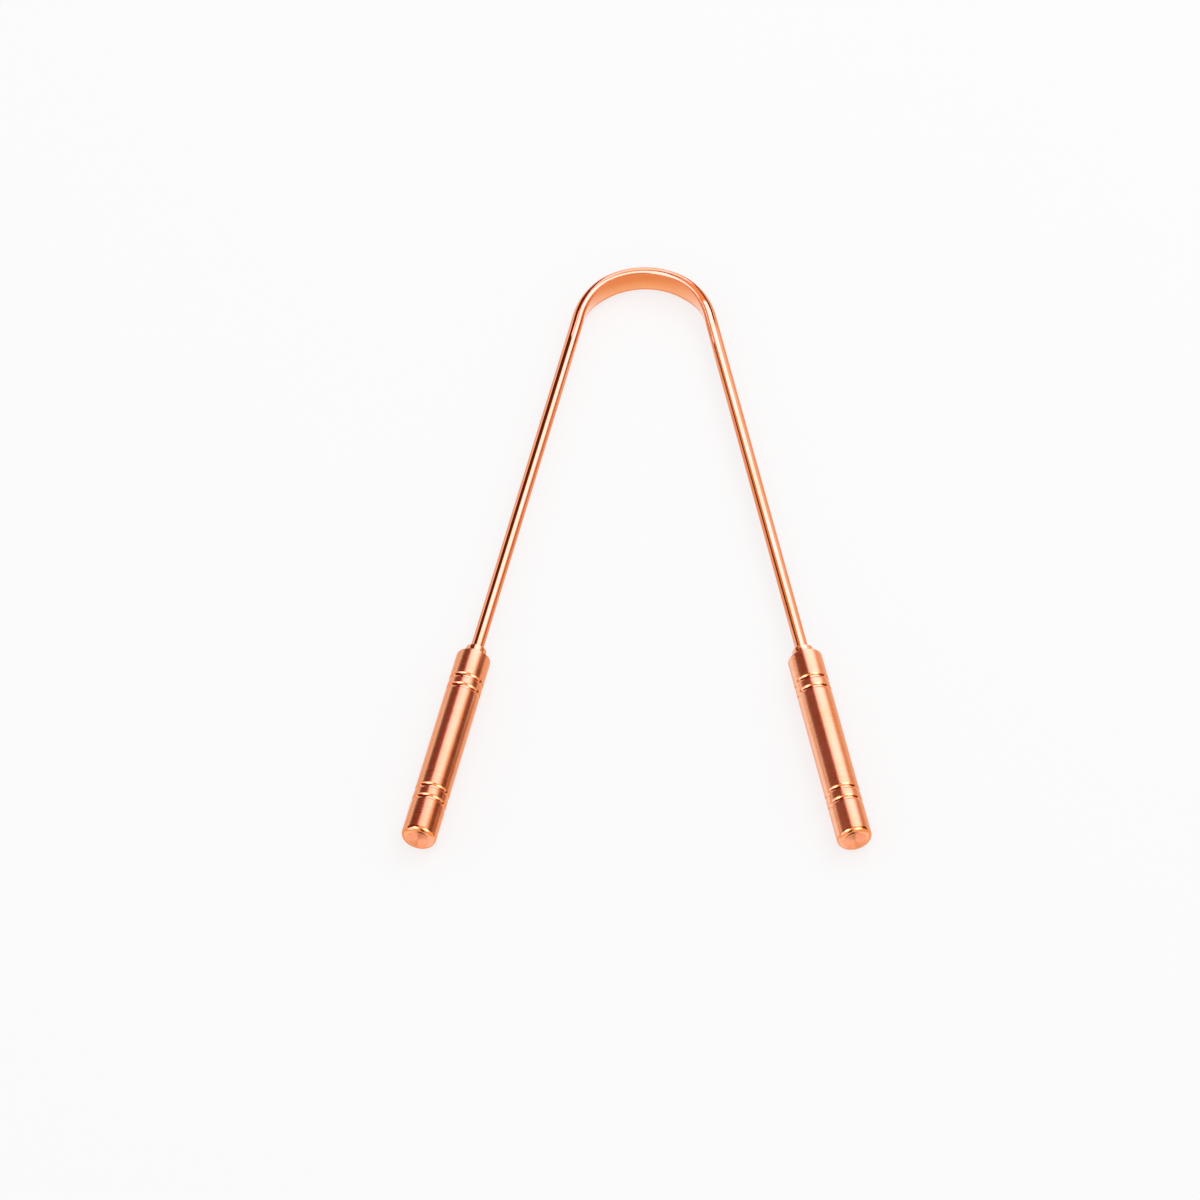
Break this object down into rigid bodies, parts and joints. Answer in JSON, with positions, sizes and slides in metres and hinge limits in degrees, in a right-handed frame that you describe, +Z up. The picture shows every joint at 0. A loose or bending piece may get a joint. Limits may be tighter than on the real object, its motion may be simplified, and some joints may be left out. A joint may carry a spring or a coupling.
{
  "type": "tongue scraper",
  "caption": "U-shaped copper tongue scraper: a springy bow with round legs and a wide rounded band forged at its arch, and a turned and grooved solid grip on each leg.",
  "frame": {"origin": "middle of the scraper's box in X and Y, on the table that the grips lie on", "axes": "+X across the scraper towards its right grip, +Y from the grips to the arch, +Z up from the table"},
  "size_m": [0.0948, 0.1518, 0.0072],
  "materials": {
    "polished_copper": "mirror-polished solid copper, the band's faces a little softer",
    "satin_copper": "satin turned solid copper with polished grooves and end edge"
  },
  "bodies": {
    "root": {"bow": "polished_copper", "left_handle": "satin_copper", "right_handle": "satin_copper"}
  },
  "joints": []
}
